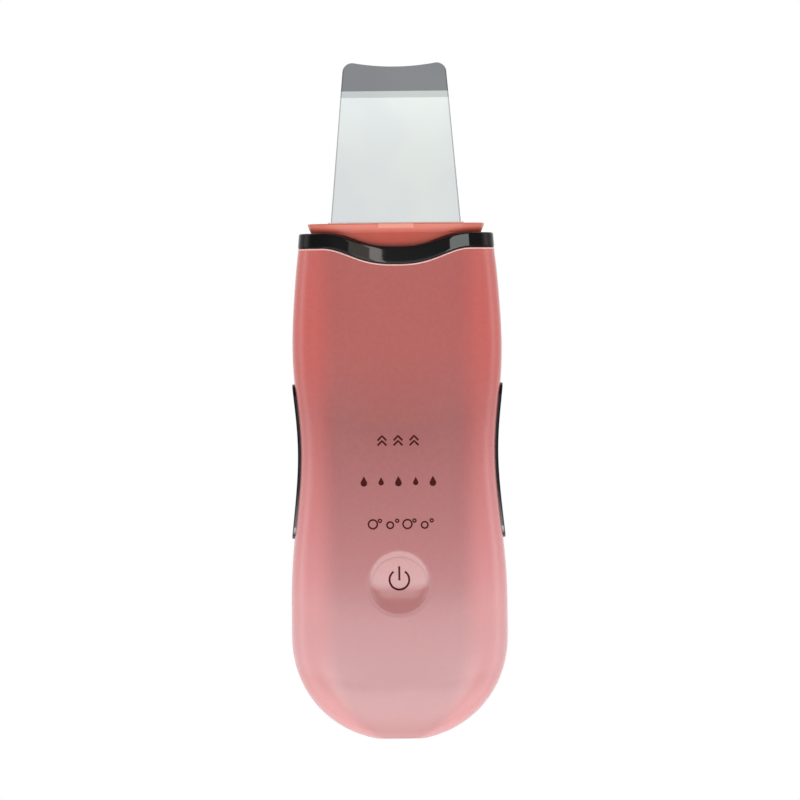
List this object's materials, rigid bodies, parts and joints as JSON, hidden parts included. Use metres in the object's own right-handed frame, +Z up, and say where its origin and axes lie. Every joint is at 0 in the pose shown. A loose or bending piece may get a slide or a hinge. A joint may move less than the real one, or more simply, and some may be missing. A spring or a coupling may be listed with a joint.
{
  "type": "ultrasonic skin scrubber",
  "caption": "Handheld ultrasonic skin scrubber with a bent steel spatula blade, waisted glossy body, black trim band, side contact strips and a dished power button.",
  "frame": {"origin": "centre of the flat on the lower end, at the bottom of the bounding box", "axes": "+Z up along the body to the blade tip, -Y out of the front face that carries the button, +X to the right for someone facing that front face"},
  "size_m": [0.054, 0.0218, 0.169],
  "materials": {
    "shell_pink": "glossy coral shading to pale pink towards the lower end",
    "collar_coral": "glossy coral",
    "band_black": "high-gloss piano black",
    "blade_steel": "fine-brushed stainless, near mirror",
    "seal_silicone": "translucent white silicone",
    "strip_dark_chrome": "dark chrome plating",
    "button_pink": "glossy, same gradient as the shell",
    "spring_brass": "phosphor bronze strip",
    "switch_black": "matte moulded body",
    "stem_white": "matte actuator",
    "board_green": "solder mask over glass-epoxy",
    "led_clear": "clear epoxy over a pale chip",
    "baffle_white": "matte white",
    "port_steel": "nickel-plated steel",
    "tongue_black": "matte",
    "cell_foil": "satin laminate foil",
    "pad_foam": "foam tape",
    "connector_white": "matte nylon",
    "lead_red_black": "matte silicone sleeve",
    "ferrite": "matte sintered ferrite",
    "copper_winding": "enamelled copper",
    "chip_black": "matte epoxy",
    "cap_can": "satin can",
    "block_metal": "machined",
    "piezo_ceramic": "silvered ceramic",
    "pad_silicone": "soft silicone",
    "carrier_nylon": "matte glass-filled nylon",
    "screw_steel": "zinc-plated steel"
  },
  "bodies": {
    "housing": {"front_shell": "shell_pink", "rear_shell": "shell_pink", "trim_band": "band_black", "neck_collar": "collar_coral", "spatula_blade": "blade_steel", "blade_seal": "seal_silicone", "left_contact_strip": "strip_dark_chrome", "right_contact_strip": "strip_dark_chrome", "strip_contact_springs": "spring_brass", "tact_switch": "switch_black", "main_board": "board_green", "mode_leds": "led_clear", "light_baffle": "baffle_white", "usb_receptacle": "port_steel", "usb_tongue": "tongue_black", "battery_cell": "cell_foil", "battery_pad": "pad_foam", "battery_connector": "connector_white", "battery_leads": "lead_red_black", "coil_core": "ferrite", "coil_winding": "copper_winding", "control_chip": "chip_black", "charge_chip": "chip_black", "transistors": "chip_black", "capacitors": "cap_can", "transducer_block": "block_metal", "piezo_front": "piezo_ceramic", "piezo_rear": "piezo_ceramic", "isolation_pads": "pad_silicone", "transducer_carrier": "carrier_nylon", "piezo_leads": "lead_red_black", "board_screws": "screw_steel", "carrier_screws": "screw_steel"},
    "button": {"power_button": "button_pink"},
    "stem": {"tact_stem": "stem_white"}
  },
  "joints": [
    {"name": "power_press", "type": "slide", "parent": "housing", "child": "button", "axis": [0, 1, 0], "range_m": [0, 0.0003], "stiffness_N_per_m": 1500, "springref_m": -0.0004},
    {"name": "tact_stem_press", "type": "slide", "parent": "housing", "child": "stem", "axis": [0, 1, 0], "range_m": [0, 0.0003]}
  ],
  "couplings": [
    {"joint": "tact_stem_press", "follows": "power_press", "ratio": 1}
  ]
}
